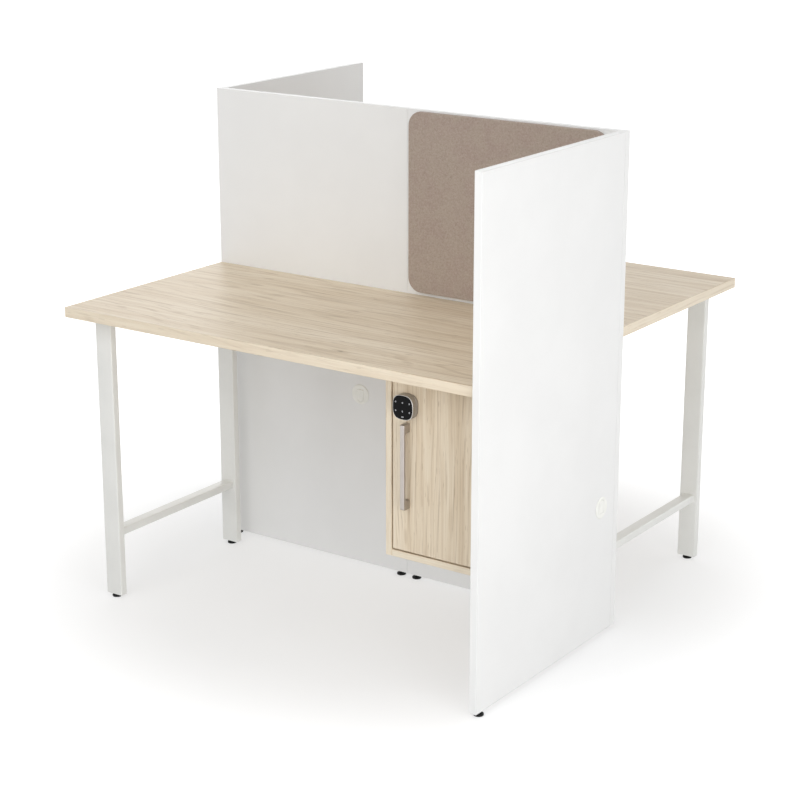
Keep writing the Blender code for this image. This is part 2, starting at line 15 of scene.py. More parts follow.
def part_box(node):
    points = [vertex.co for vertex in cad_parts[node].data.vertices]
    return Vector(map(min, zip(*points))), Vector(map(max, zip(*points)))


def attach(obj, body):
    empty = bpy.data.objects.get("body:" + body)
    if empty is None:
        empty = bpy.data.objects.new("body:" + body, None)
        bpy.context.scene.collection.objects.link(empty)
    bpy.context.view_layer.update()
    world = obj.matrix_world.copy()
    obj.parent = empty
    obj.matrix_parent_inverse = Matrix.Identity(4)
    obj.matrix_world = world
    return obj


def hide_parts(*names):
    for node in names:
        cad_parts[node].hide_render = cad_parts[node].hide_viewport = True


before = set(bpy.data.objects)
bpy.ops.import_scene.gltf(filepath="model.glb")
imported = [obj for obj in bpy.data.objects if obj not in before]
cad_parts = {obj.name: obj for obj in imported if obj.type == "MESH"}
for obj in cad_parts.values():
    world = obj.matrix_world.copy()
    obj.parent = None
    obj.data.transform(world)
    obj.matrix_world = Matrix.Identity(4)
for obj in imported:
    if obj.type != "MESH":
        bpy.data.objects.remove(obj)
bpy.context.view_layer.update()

SIDES = ("front", "rear")
HALF_TURN = {"front": Matrix.Identity(4), "rear": Matrix.Rotation(math.pi, 4, "Z")}
FIT = 0.0003                 # clearance between touching pieces

# Camera: a three-quarter view from above the front right.
CAMERA_PLACE = (2.7566, -4.0014, 1.9635)
CAMERA_BEARING = 34.845      # degrees from +Y towards -X
CAMERA_TILT = 16.992         # degrees below the horizon
CAMERA_LENS = 90.25          # millimetres
CAMERA_SENSOR = 36.0


# ---------------------------------------------------------------- materials
def colour(red, green, blue):
    """Display colour, 0 to 255, as the linear colour a shader takes."""
    linear = []
    for value in (red, green, blue):
        value /= 255
        linear.append(value / 12.92 if value <= 0.04045 else ((value + 0.055) / 1.055) ** 2.4)
    return (*linear, 1.0)


class Look:
    """One procedural material, built node by node."""

    def __init__(self, name, roughness=0.5, metallic=0.0, **inputs):
        self.material = bpy.data.materials.new(name)
        self.material.use_nodes = True
        self.tree = self.material.node_tree
        self.shader = self.tree.nodes["Principled BSDF"]
        self.shader.inputs["Roughness"].default_value = roughness
        self.shader.inputs["Metallic"].default_value = metallic
        for socket, value in inputs.items():
            self.shader.inputs[socket.replace("_", " ")].default_value = value
        source = self.tree.nodes.new("ShaderNodeTexCoord")
        self.place = source.outputs["Object"]
        self.normal = source.outputs["Normal"]

    def put(self, value, socket):
        """Links an output to a socket, or sets the socket to a plain value."""
        if isinstance(value, bpy.types.NodeSocket):
            self.tree.links.new(value, socket)
        else:
            socket.default_value = value

    def math(self, operation, *values):
        node = self.tree.nodes.new("ShaderNodeMath")
        node.operation = operation
        for value, socket in zip(values, node.inputs):
            self.put(value, socket)
        return node.outputs[0]

    def split(self, vector):
        node = self.tree.nodes.new("ShaderNodeSeparateXYZ")
        self.put(vector, node.inputs[0])
        return node.outputs

    def join(self, x, y, z):
        node = self.tree.nodes.new("ShaderNodeCombineXYZ")
        for value, socket in zip((x, y, z), node.inputs):
            self.put(value, socket)
        return node.outputs[0]

    def scaled(self, vector, scale, shift=(0, 0, 0)):
        node = self.tree.nodes.new("ShaderNodeMapping")
        self.put(vector, node.inputs["Vector"])
        node.inputs["Scale"].default_value = scale
        node.inputs["Location"].default_value = shift
        return node.outputs[0]

    def noise(self, vector, scale=1.0, detail=2.0, rough=0.5):
        node = self.tree.nodes.new("ShaderNodeTexNoise")
        self.put(vector, node.inputs["Vector"])
        node.inputs["Scale"].default_value = scale
        node.inputs["Detail"].default_value = detail
        node.inputs["Roughness"].default_value = rough
        return node.outputs[0]

    def cells(self, vector):
        """Distance to the nearest of scattered points, and that point's random colour."""
        node = self.tree.nodes.new("ShaderNodeTexVoronoi")
        self.put(vector, node.inputs["Vector"])
        node.inputs["Scale"].default_value = 1.0
        return node.outputs["Distance"], node.outputs["Color"]

    def span(self, value, low, high, start=0.0, end=1.0):
        """Smooth step of a value from low to high, giving start to end."""
        node = self.tree.nodes.new("ShaderNodeMapRange")
        node.interpolation_type = "SMOOTHSTEP"
        for item, socket in zip((value, low, high, start, end), node.inputs):
            self.put(item, socket)
        return node.outputs[0]

    def mix(self, factor, first, second):
        node = self.tree.nodes.new("ShaderNodeMix")
        node.data_type = "RGBA"
        self.put(factor, node.inputs[0])
        self.put(first, node.inputs[6])
        self.put(second, node.inputs[7])
        return node.outputs[2]

    def bump(self, height, distance, strength=1.0, under=None):
        node = self.tree.nodes.new("ShaderNodeBump")
        node.inputs["Strength"].default_value = strength
        node.inputs["Distance"].default_value = distance
        self.put(height, node.inputs["Height"])
        if under is not None:
            self.put(under, node.inputs["Normal"])
        return node.outputs[0]

    def finish(self, base=None, roughness=None, normal=None):
        for value, socket in ((base, "Base Color"), (roughness, "Roughness"), (normal, "Normal")):
            if value is not None:
                self.put(value, self.shader.inputs[socket])
        return self.material


def edge_line(look, box, inset, width):
    """1 along the fine line where a board's edge band meets its faces, else 0."""
    low, high = box
    gaps = []
    for value, start, end in zip(look.split(look.place), low, high):
        gaps.append(look.math("MINIMUM", look.math("SUBTRACT", value, start),
                              look.math("SUBTRACT", end, value)))
    size = [end - start for start, end in zip(low, high)]
    thin = size.index(min(size))
    in_plane = [gap for axis, gap in enumerate(gaps) if axis != thin]
    nearest = look.math("MINIMUM", *in_plane)
    off = look.math("ABSOLUTE", look.math("SUBTRACT", nearest, inset))
    return look.span(off, width * 0.4, width, 1.0, 0.0)


EDGE_BAND = 0.0011           # from a board's edge to the line of its edge band
EDGE_BAND_LINE = 0.0005      # half the line's width


def white_board(name, box, band):
    """White melamine: faint pearl texture, barely uneven tone, fine edge-band line."""
    look = Look(name, roughness=0.42, Specular_IOR_Level=0.45)
    cloud = look.noise(look.place, 5.0, 3.0)
    base = look.mix(look.span(cloud, 0.3, 0.7), colour(238, 238, 237), colour(241, 241, 240))
    speck = look.noise(look.place, 260.0, 2.0, 0.6)
    base = look.mix(look.span(speck, 0.66, 0.74, 0.0, 0.05), base, colour(196, 195, 192))
    line = edge_line(look, box, EDGE_BAND, EDGE_BAND_LINE)
    base = look.mix(look.math("MULTIPLY", line, band), base, colour(168, 168, 166))
    scuff = look.noise(look.scaled(look.place, (3.0, 3.0, 22.0)), 4.0, 3.0, 0.6)
    roughness = look.span(scuff, 0.3, 0.75, 0.37, 0.48)
    pearl = look.noise(look.place, 620.0, 2.0, 0.6)
    normal = look.bump(pearl, 0.00006, 0.5)
    groove = look.math("MULTIPLY", line, -1.0)
    return look.finish(base, roughness, look.bump(groove, 0.00012, 0.6, normal))


def wood_board(name, box, grain, seed):
    """Pale oak-like decor: tonal bands, wavy growth lines, fine streaks, pores and small knots."""
    look = Look(name, roughness=0.45, Specular_IOR_Level=0.42)
    axes = look.split(look.place)
    facing = look.split(look.normal)
    low, high = box
    size = [end - start for start, end in zip(low, high)]
    other = max((axis for axis in range(3) if axis != grain), key=lambda axis: size[axis])
    third = 3 - grain - other
    # On the ends of the grain the band's own grain runs along the edge.
    on_end = look.math("GREATER_THAN", look.math("ABSOLUTE", facing[grain]), 0.7)
    on_edge = look.math("LESS_THAN", look.math("ABSOLUTE", facing[third]), 0.6)

    def chosen(value, on_the_end):
        difference = look.math("SUBTRACT", on_the_end, value)
        return look.math("MULTIPLY_ADD", difference, on_end, value)

    along = chosen(axes[grain], axes[other])
    across = chosen(axes[other], axes[grain])
    place = look.join(along, across, axes[third])
    shift = (seed * 1.7, seed * 2.3, seed * 0.9)

    # Scattered knots push the grain aside.
    spread = look.scaled(place, (3.2, 9.0, 9.0), shift)
    distance, cell = look.cells(spread)
    chance = look.math("GREATER_THAN", look.split(cell)[0], 0.44)
    pull = look.math("MULTIPLY", look.span(distance, 0.0, 0.30, 1.0, 0.0), chance)
    bent = look.join(along, look.math("MULTIPLY_ADD", pull, 0.0060, across), axes[third])

    wave = look.noise(look.scaled(bent, (1.3, 4.0, 4.0), shift), 1.0, 2.0)
    drift = look.math("MULTIPLY_ADD", wave, 0.042, look.split(bent)[1])
    grained = look.join(along, drift, axes[third])
    bands = look.noise(look.scaled(grained, (0.9, 24.0, 24.0), shift), 1.0, 3.0, 0.55)
    rings = look.noise(look.scaled(grained, (0.85, 10.0, 10.0), shift), 1.0, 1.0, 0.4)
    lines = look.math("SINE", look.math("MULTIPLY", rings, 110.0))
    ribbons = look.noise(look.scaled(grained, (2.2, 78.0, 78.0), shift), 1.0, 2.0, 0.5)
    streaks = look.noise(look.scaled(grained, (4.5, 190.0, 190.0), shift), 1.0, 3.0, 0.6)
    fine = look.noise(look.scaled(grained, (14.0, 640.0, 640.0), shift), 1.0, 2.0, 0.6)
    dashes = look.noise(look.scaled(grained, (26.0, 430.0, 430.0), shift), 1.0, 1.0, 0.5)

    base = look.mix(look.span(bands, 0.32, 0.68), colour(219, 201, 174), colour(230, 215, 191))
    base = look.mix(look.span(ribbons, 0.50, 0.70, 0.0, 0.50), base, colour(202, 180, 150))
    base = look.mix(look.span(ribbons, 0.46, 0.28, 0.0, 0.40), base, colour(240, 229, 210))
    base = look.mix(look.span(streaks, 0.50, 0.72, 0.0, 0.52), base, colour(197, 175, 147))
    base = look.mix(look.span(streaks, 0.44, 0.28, 0.0, 0.40), base, colour(241, 231, 213))
    dark_line = look.math("MULTIPLY", look.span(lines, 0.45, 1.0), look.span(streaks, 0.36, 0.62))
    base = look.mix(look.math("MULTIPLY", dark_line, 0.46), base, colour(178, 154, 123))
    base = look.mix(look.span(fine, 0.44, 0.76, 0.0, 0.26), base, colour(240, 229, 209))
    pores = look.span(dashes, 0.67, 0.75)
    base = look.mix(look.math("MULTIPLY", pores, 0.55), base, colour(158, 133, 101))
    # Knots: a brown heart in a darker halo.
    halo = look.math("MULTIPLY", look.span(distance, 0.03, 0.12, 1.0, 0.0), chance)
    heart = look.math("MULTIPLY", look.span(distance, 0.010, 0.036, 1.0, 0.0), chance)
    base = look.mix(look.math("MULTIPLY", halo, 0.38), base, colour(174, 147, 113))
    base = look.mix(look.math("MULTIPLY", heart, 0.75), base, colour(126, 99, 71))
    # The edge band is a little paler than the faces.
    base = look.mix(look.math("MULTIPLY", on_edge, 0.42), base, colour(243, 232, 212))
    line = edge_line(look, box, EDGE_BAND, EDGE_BAND_LINE)
    base = look.mix(look.math("MULTIPLY", line, 0.35), base, colour(150, 126, 94))

    roughness = look.span(streaks, 0.2, 0.8, 0.40, 0.50)
    relief = look.math("MULTIPLY_ADD", pores, -0.8, fine)
    normal = look.bump(relief, 0.00008, 0.55)
    return look.finish(base, roughness, normal)


def powder_coat(name):
    """Warm white powder-coated steel with a fine orange-peel surface."""
    look = Look(name, roughness=0.36, Specular_IOR_Level=0.5, Coat_Weight=0.15, Coat_Roughness=0.25)
    cloud = look.noise(look.place, 9.0, 3.0)
    base = look.mix(look.span(cloud, 0.3, 0.7), colour(230, 230, 226), colour(235, 235, 231))
    speck = look.noise(look.place, 420.0, 1.0, 0.5)
    base = look.mix(look.span(speck, 0.68, 0.76, 0.0, 0.10), base, colour(190, 189, 182))
    peel = look.noise(look.place, 380.0, 2.0, 0.45)
    roughness = look.span(look.noise(look.place, 30.0, 3.0), 0.3, 0.7, 0.32, 0.42)
    return look.finish(base, roughness, look.bump(peel, 0.00018, 0.5))


def felt(name):
    """Taupe felt: light and dark fibres pressed into a soft mat."""
    look = Look(name, roughness=0.95, Specular_IOR_Level=0.15, Sheen_Weight=0.25, Sheen_Roughness=0.6)
    warp = look.noise(look.place, 60.0, 2.0)
    bent = look.join(*[look.math("MULTIPLY_ADD", warp, 0.006, axis) for axis in look.split(look.place)])
    hairs_up = look.noise(look.scaled(bent, (900.0, 900.0, 130.0)), 1.0, 3.0, 0.65)
    hairs_over = look.noise(look.scaled(bent, (130.0, 900.0, 900.0)), 1.0, 3.0, 0.65)
    cloud = look.noise(look.place, 22.0, 2.0, 0.5)
    base = look.mix(look.span(cloud, 0.30, 0.70), colour(174, 156, 145), colour(177, 162, 149))
    tufts = look.noise(bent, 210.0, 3.0, 0.70)
    base = look.mix(look.span(tufts, 0.52, 0.66, 0.0, 0.34), base, colour(200, 187, 176))
    base = look.mix(look.span(tufts, 0.48, 0.34, 0.0, 0.34), base, colour(146, 127, 114))
    base = look.mix(look.span(hairs_up, 0.52, 0.72, 0.0, 0.42), base, colour(204, 191, 180))
    base = look.mix(look.span(hairs_over, 0.55, 0.74, 0.0, 0.45), base, colour(122, 103, 91))
    grit = look.noise(look.place, 1500.0, 2.0, 0.7)
    base = look.mix(look.span(grit, 0.60, 0.75, 0.0, 0.30), base, colour(106, 88, 77))
    fuzz = look.math("ADD", look.math("ADD", hairs_up, hairs_over), grit)
    roughness = look.span(cloud, 0.3, 0.7, 0.90, 0.98)
    return look.finish(base, roughness, look.bump(fuzz, 0.0005, 0.8))


def moulded(name, dark, light, roughness, grain=700.0, depth=0.00006, **inputs):
    """Moulded plastic: fine spark-eroded grain, slightly uneven gloss."""
    look = Look(name, roughness=roughness, **inputs)
    cloud = look.noise(look.place, 60.0, 3.0)
    base = look.mix(look.span(cloud, 0.3, 0.7), colour(*dark), colour(*light))
    wear = look.noise(look.place, 210.0, 3.0, 0.6)
    uneven = look.span(wear, 0.3, 0.75, roughness - 0.05, roughness + 0.07)
    return look.finish(base, uneven, look.bump(look.noise(look.place, grain, 2.0), depth, 0.6))


def brushed(name, dark, light, roughness, stretch):
    """Satin metal with fine brush marks along one axis."""
    look = Look(name, roughness=roughness, metallic=1.0)
    marks = look.noise(look.scaled(look.place, stretch), 1.0, 3.0, 0.6)
    cloud = look.noise(look.place, 70.0, 2.0)
    base = look.mix(look.span(marks, 0.25, 0.75), colour(*dark), colour(*light))
    base = look.mix(look.span(cloud, 0.3, 0.7, 0.0, 0.12), base, colour(*dark))
    uneven = look.span(marks, 0.25, 0.75, roughness - 0.06, roughness + 0.08)
    return look.finish(base, uneven, look.bump(marks, 0.00003, 0.6))


def glass(name):
    """Black glass over the keypad, with a faint haze of finger marks."""
    look = Look(name, roughness=0.10, Specular_IOR_Level=0.10)
    cloud = look.noise(look.place, 90.0, 3.0)
    base = look.mix(look.span(cloud, 0.3, 0.7), colour(6, 6, 8), colour(11, 11, 13))
    smear = look.noise(look.scaled(look.place, (60.0, 60.0, 160.0)), 1.0, 3.0, 0.6)
    return look.finish(base, look.span(smear, 0.45, 0.75, 0.08, 0.20))


def lamp_dots(name):
    """Milky print of the number places and the lamp bar."""
    look = Look(name, roughness=0.35)
    cloud = look.noise(look.place, 900.0, 2.0)
    base = look.mix(look.span(cloud, 0.3, 0.7), colour(150, 151, 156), colour(172, 173, 177))
    return look.finish(base)


# ---------------------------------------------------------------- mesh helpers
def smoothed(item, angle=35):
    """Smooth shading, with sharp edges above an angle in degrees."""
    item.data.shade_smooth()
    item.data.set_sharp_from_angle(angle=math.radians(angle))
    return item


def finished(item):
    """Applies an item's modifiers."""
    graph = bpy.context.evaluated_depsgraph_get()
    mesh = bpy.data.meshes.new_from_object(item.evaluated_get(graph))
    item.modifiers.clear()
    item.data = mesh
    return item


def solid(name, shape, material, matrix=None, smooth=35):
    """An object from a bmesh, moved into place, smooth shaded up to an angle."""
    mesh = bpy.data.meshes.new(name)
    bmesh.ops.recalc_face_normals(shape, faces=shape.faces)
    shape.to_mesh(mesh)
    shape.free()
    if matrix is not None:
        mesh.transform(matrix)
    mesh.materials.append(material)
    item = bpy.data.objects.new(name, mesh)
    bpy.context.scene.collection.objects.link(item)
    return smoothed(item, smooth)


def ring_points(radius, height, steps):
    """Circle about Z at a height."""
    angles = [2 * math.pi * step / steps for step in range(steps)]
    return [(radius * math.cos(angle), radius * math.sin(angle), height) for angle in angles]


def layered(layers, closed_ends=True):
    """Skin over outlines that have the same number of points."""
    shape = bmesh.new()
    rows = [[shape.verts.new(point) for point in layer] for layer in layers]
    for lower, upper in zip(rows, rows[1:]):
        count = len(lower)
        for index in range(count):
            after = (index + 1) % count
            shape.faces.new((lower[index], lower[after], upper[after], upper[index]))
    if closed_ends:
        shape.faces.new(rows[0])
        shape.faces.new(reversed(rows[-1]))
    return shape


def turned(profile, steps=64):
    """Turns a profile of (radius, height) points about Z; both ends lie on the axis."""
    shape = bmesh.new()
    first = shape.verts.new((0, 0, profile[0][1]))
    last = shape.verts.new((0, 0, profile[-1][1]))
    rows = []
    for radius, height in profile[1:-1]:
        rows.append([shape.verts.new(point) for point in ring_points(radius, height, steps)])
    for index in range(steps):
        after = (index + 1) % steps
        shape.faces.new((first, rows[0][after], rows[0][index]))
        shape.faces.new((last, rows[-1][index], rows[-1][after]))
        for lower, upper in zip(rows, rows[1:]):
            shape.faces.new((lower[index], lower[after], upper[after], upper[index]))
    return shape


def arc(centre, radius, start, end, steps):
    """Points from start to end, in degrees counter-clockwise."""
    points = []
    for step in range(steps + 1):
        angle = math.radians(start + (end - start) * step / steps)
        points.append((centre[0] + radius * math.cos(angle), centre[1] + radius * math.sin(angle)))
    return points


def rounded_rectangle(width, height, radius, steps, along=0):
    """Outline with evenly split sides, so that insets of it have matching points."""
    points = []
    corners = ((1, 1, 0), (-1, 1, 90), (-1, -1, 180), (1, -1, 270))
    for side_x, side_y, start in corners:
        centre = (side_x * (width / 2 - radius), side_y * (height / 2 - radius))
        points += arc(centre, radius, start, start + 90, steps)
        if along:
            here = Vector(points[-1])
            turn = math.radians(start + 180)
            reach = (width if side_x == side_y else height) - 2 * radius
            way = Vector((math.cos(turn), math.sin(turn)))
            for step in range(1, along):
                points.append(tuple(here + way * reach * step / along))
    return points


def squircle(width, height):
    """Superellipse outline of the keypad lock."""
    steps = 120
    power = 2.9
    points = []
    for step in range(steps):
        angle = 2 * math.pi * step / steps
        cosine = math.cos(angle)
        sine = math.sin(angle)
        points.append((math.copysign(abs(cosine) ** (2 / power), cosine) * width / 2,
                       math.copysign(abs(sine) ** (2 / power), sine) * height / 2))
    return points


def box_shape(low, high):
    shape = bmesh.new()
    bmesh.ops.create_cube(shape, size=1.0)
    low = Vector(low)
    high = Vector(high)
    bmesh.ops.scale(shape, vec=high - low, verts=shape.verts)
    bmesh.ops.translate(shape, vec=(low + high) / 2, verts=shape.verts)
    return shape


def bevelled(item, width, segments=3, angle=30):
    modifier = item.modifiers.new("rounded_edges", "BEVEL")
    modifier.width = width
    modifier.segments = segments
    modifier.limit_method = "ANGLE"
    modifier.angle_limit = math.radians(angle)
    return finished(item)


def combined(item, other, operation):
    """Boolean of two closed pieces; the other piece is used up."""
    modifier = item.modifiers.new(operation.lower(), "BOOLEAN")
    modifier.operation = operation
    modifier.solver = "EXACT"
    modifier.object = other
    bpy.context.view_layer.update()
    finished(item)
    bpy.data.objects.remove(other, do_unlink=True)
    return item


def joined(item, *others):
    """One object from several that lie clear of, or within, each other."""
    shape = bmesh.new()
    shape.from_mesh(item.data)
    for other in others:
        shape.from_mesh(other.data)
        bpy.data.objects.remove(other, do_unlink=True)
    shape.to_mesh(item.data)
    shape.free()
    return smoothed(item)


def install(item, side, body, slot, *nodes):
    """Turns a front-half piece for its side and puts it on its body, in place of CAD nodes."""
    item.data.transform(HALF_TURN[side])
    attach(item, body)
    if nodes:
        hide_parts(*nodes)


def dress(node, material):
    """Gives a CAD node's slots a new material."""
    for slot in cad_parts[node].material_slots:
        slot.material = material


# Turns that bring the +Z of a shape to face -Y, +Y, -X, -Z and +X.
FACING_FRONT = Matrix.Rotation(math.pi / 2, 4, "X")
FACING_BACK = Matrix.Rotation(-math.pi / 2, 4, "X")
FACING_LEFT = Matrix.Rotation(-math.pi / 2, 4, "Y")
FACING_DOWN = Matrix.Rotation(math.pi, 4, "X")
FACING_OUT = Matrix(((0, 0, 1, 0), (-1, 0, 0, 0), (0, -1, 0, 0), (0, 0, 0, 1)))


# ---------------------------------------------------------------- carried-over boards
GRAIN_X = 0
GRAIN_Z = 2
for panel in ("divider_panel_left", "divider_panel_right", "side_panel_front", "side_panel_rear"):
    # The two halves of the divider meet edge to edge, and their bands hardly show.
    dress(panel, white_board(panel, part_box(panel), 0.08 if "divider" in panel else 0.30))

LOCKER_BOARDS = {"left_side": GRAIN_Z, "right_side": GRAIN_Z, "back": GRAIN_Z, "door": GRAIN_Z,
                 "bottom": GRAIN_X, "top": GRAIN_X}
wooden = {f"worktop_{side}": GRAIN_X for side in SIDES}
for side in SIDES:
    wooden.update({f"locker_{side}_{part}": grain for part, grain in LOCKER_BOARDS.items()})
for number, (board, grain) in enumerate(wooden.items()):
    dress(board, wood_board(board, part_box(board), grain, seed=number * 0.37))

white_steel = powder_coat("white_powder_coat")
zinc = brushed("zinc_plate", (176, 178, 180), (206, 207, 207), 0.34, (500.0, 60.0, 500.0))
black_moulding = moulded("black_moulding", (7, 7, 8), (13, 13, 14), 0.52, Specular_IOR_Level=0.25)
white_moulding = moulded("white_moulding", (243, 243, 237), (248, 248, 243), 0.34, 500.0, 0.00004)
nickel = brushed("satin_nickel_vertical", (164, 157, 152), (186, 180, 175), 0.34,
                 (1400.0, 1400.0, 45.0))
nickel_round = brushed("satin_nickel_round", (158, 154, 152), (180, 177, 175), 0.38,
                       (900.0, 60.0, 900.0))
rim_metal = brushed("polished_rim", (188, 186, 184), (206, 204, 201), 0.20,
                    (300.0, 300.0, 300.0))
keypad_glass = glass("keypad_black_glass")
print_white = lamp_dots("keypad_print")
taupe_felt = felt("taupe_felt")

# ---------------------------------------------------------------- pinboards
PINBOARD_CORNER = 0.036
PINBOARD_EDGE = 0.0022       # rounding of its front edge
PINBOARD_SWELL = 0.00030     # unevenness of its face


def pinboard(side):
    """Felt board: soft pressed front edge and a slightly uneven face."""
    low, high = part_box("pinboard_front")
    width = high.x - low.x
    height = high.z - low.z
    thickness = high.y - low.y
    edge = PINBOARD_EDGE
    layers = []

    def ring(inset, depth):
        radius = max(PINBOARD_CORNER - inset, 0.004)
        outline = rounded_rectangle(width - 2 * inset, height - 2 * inset, radius, 10, 28)
        layer = []
        for x, y in outline:
            place = Vector((x, y, 0)) * 14.0
            swell = noise.noise(place) * 0.6 + noise.noise(place * 4.1) * 0.4
            face = max(0.0, min(1.0, inset / 0.012))
            layer.append((x, y, depth - 0.00035 + PINBOARD_SWELL * swell * face))
        layers.append(layer)

    ring(0.0010, 0.0004)
    ring(0.0000, 0.0014)
    for step in range(7):
        angle = math.pi / 2 * step / 6
        ring(edge * (1 - math.cos(angle)), thickness - edge + edge * math.sin(angle))
    inset = edge
    while inset < height / 2 - 0.012:
        inset += 0.004 if inset < 0.02 else 0.009
        ring(inset, thickness)
    name = f"pinboard_{side}_felt"
    centre = Vector(((low.x + high.x) / 2, high.y, (low.z + high.z) / 2))
    board = solid(name, layered(layers), taupe_felt, Matrix.Translation(centre) @ FACING_FRONT)
    install(board, side, "carrel", "pinboard_felt", f"pinboard_{side}")


# ---------------------------------------------------------------- leg frames
LEG_DEPTH = 0.020
RAIL_WIDTH = 0.030
RAIL_HEIGHT = 0.020
CROSSBAR_Z = 0.1715
TUBE_ROUND = 0.0028
TUBE_END = 0.0004            # rounding of a tube's ends
STEM_BORE = 0.0046           # radius
STEM_BORE_DEPTH = 0.040
BEAD_RADIUS = 0.0013


def tube(low, high, width, depth, axis):
    """Rounded rectangular tube between two points along Z or Y, its ends rounded over."""
    outline = rounded_rectangle(width, depth, TUBE_ROUND, 6)
    trimmed = rounded_rectangle(width - 2 * TUBE_END, depth - 2 * TUBE_END, TUBE_ROUND - TUBE_END, 6)
    length = (Vector(high) - Vector(low)).length
    heights = ((trimmed, 0.0), (outline, TUBE_END), (outline, length - TUBE_END), (trimmed, length))
    layers = [[(x, y, z) for x, y in points] for points, z in heights]
    turn = Matrix.Identity(4) if axis == "Z" else Matrix.Rotation(-math.pi / 2, 4, "X")
    return layered(layers), Matrix.Translation(low) @ turn


def weld_bead(centre, width, height, y, direction, seed):
    """Rippled fillet weld round a rail where it meets a leg."""
    outline = rounded_rectangle(width, height, 0.0030, 8, 16)
    count = len(outline)
    layers = []
    for index, (x, z) in enumerate(outline):
        before = Vector(outline[index - 1])
        after = Vector(outline[(index + 1) % count])
        tangent = (after - before).normalized()
        outward = Vector((tangent.y, -tangent.x))
        ripple = 0.5 + 0.5 * math.sin(index * 2.4 + seed)
        uneven = 0.0002 * noise.noise(Vector((index * 0.3, seed, 0)))
        radius = BEAD_RADIUS + 0.0004 * ripple + uneven
        ring = []
        for step in range(8):
            angle = 2 * math.pi * step / 8
            reach = radius * math.cos(angle)
            rise = radius * math.sin(angle)
            ring.append((centre.x + x + outward.x * reach, y + direction * rise,
                         centre.z + z + outward.y * reach))
        layers.append(ring)
    layers.append(layers[0])
    shape = layered(layers, closed_ends=False)
    bmesh.ops.remove_doubles(shape, verts=shape.verts, dist=0.000001)
    return shape


def leg_frame(side):
    """Two legs, the crossbar and the top rail, welded together."""
    low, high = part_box("leg_frame_front")
    leg_width = high.x - low.x
    x = (low.x + high.x) / 2
    outer_y = low.y + LEG_DEPTH / 2
    inner_y = high.y - LEG_DEPTH / 2
    top_rail_z = high.z - RAIL_HEIGHT / 2
    name = f"leg_frame_{side}_welded"
    pieces = []
    for y in (outer_y, inner_y):
        shape, matrix = tube((x, y, low.z), (x, y, high.z), leg_width, LEG_DEPTH, "Z")
        pieces.append(solid(name, shape, white_steel, matrix))
    for z in (CROSSBAR_Z, top_rail_z):
        shape, matrix = tube((x, outer_y, z), (x, inner_y, z), RAIL_WIDTH, RAIL_HEIGHT, "Y")
        pieces.append(solid(name, shape, white_steel, matrix))
    body = pieces[0]
    for piece in pieces[1:]:
        combined(body, piece, "UNION")
    # Blind hole for the foot's stem in each leg's lower end.
    for y in (outer_y, inner_y):
        hole = turned([(0, -0.01), (STEM_BORE, -0.01), (STEM_BORE, STEM_BORE_DEPTH),
                       (0, STEM_BORE_DEPTH)], 32)
        cutter = solid("foot_hole", hole, white_steel, Matrix.Translation((x, y, low.z)))
        combined(body, cutter, "DIFFERENCE")
    # The top rail's beads stay clear of the worktop.
    beads = []
    for z, drop, height in ((CROSSBAR_Z, 0, RAIL_HEIGHT), (top_rail_z, 0.0008, RAIL_HEIGHT - 0.0045)):
        centre = Vector((x, 0, z - drop))
        for y, direction, seed in ((outer_y + LEG_DEPTH / 2, 1, 1.0),
                                   (inner_y - LEG_DEPTH / 2, -1, 4.0)):
            bead = weld_bead(centre, RAIL_WIDTH, height, y, direction, seed + z)
            beads.append(solid("weld", bead, white_steel))
    joined(body, *beads)
    install(body, side, "carrel", "white_steel", f"leg_frame_{side}")


# ---------------------------------------------------------------- feet
FOOT_RADIUS = 0.012
FOOT_DISC = 0.0052           # height
FOOT_COLLAR = 0.0064         # radius
FOOT_STEM = 0.0040           # radius
FLUTES = 24
FLUTE_DEPTH = 0.00022
THREAD_PITCH = 0.00125
THREAD_DEPTH = 0.00045


def foot(node, body):
    """Levelling foot: fluted disc, low collar and threaded stem."""
    low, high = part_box(node)
    place = Vector(((low.x + high.x) / 2, (low.y + high.y) / 2, 0))
    steps = 96
    rings = ((FOOT_RADIUS - 0.0016, 0.0), (FOOT_RADIUS - 0.0006, 0.0004),
             (FOOT_RADIUS - 0.0001, 0.0012), (FOOT_RADIUS, 0.0018), (FOOT_RADIUS, 0.0036),
             (FOOT_RADIUS - 0.0003, 0.0044), (FOOT_RADIUS - 0.0011, 0.0050),
             (FOOT_RADIUS - 0.0024, FOOT_DISC), (FOOT_COLLAR, FOOT_DISC + 0.0001),
             (FOOT_COLLAR - 0.0006, FOOT_DISC + 0.0004), (FOOT_STEM, FOOT_DISC + 0.0006))
    layers = []
    for radius, height in rings:
        layer = []
        fluted = 0.0016 < height < 0.0040
        for step in range(steps):
            angle = 2 * math.pi * step / steps
            dip = FLUTE_DEPTH * (0.5 - 0.5 * math.cos(angle * FLUTES)) if fluted else 0.0
            reach = radius - dip
            layer.append((reach * math.cos(angle), reach * math.sin(angle), height))
        layers.append(layer)
    # The thread runs up the stem as one ridge.
    height = FOOT_DISC + 0.0010
    while height < high.z - 0.0006:
        layer = []
        for step in range(steps):
            turn = step / steps
            phase = ((height - low.z) / THREAD_PITCH - turn) % 1.0
            ridge = abs(2 * phase - 1)
            radius = FOOT_STEM - THREAD_DEPTH * (1 - ridge)
            angle = 2 * math.pi * turn
            layer.append((radius * math.cos(angle), radius * math.sin(angle), height))
        layers.append(layer)
        height += THREAD_PITCH / 4
    layers.append(ring_points(0.8 * FOOT_STEM, high.z, steps))
    item = solid(f"{node}_glide", layered(layers), black_moulding, Matrix.Translation(place), 50)
    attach(item, body)
    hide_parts(node)


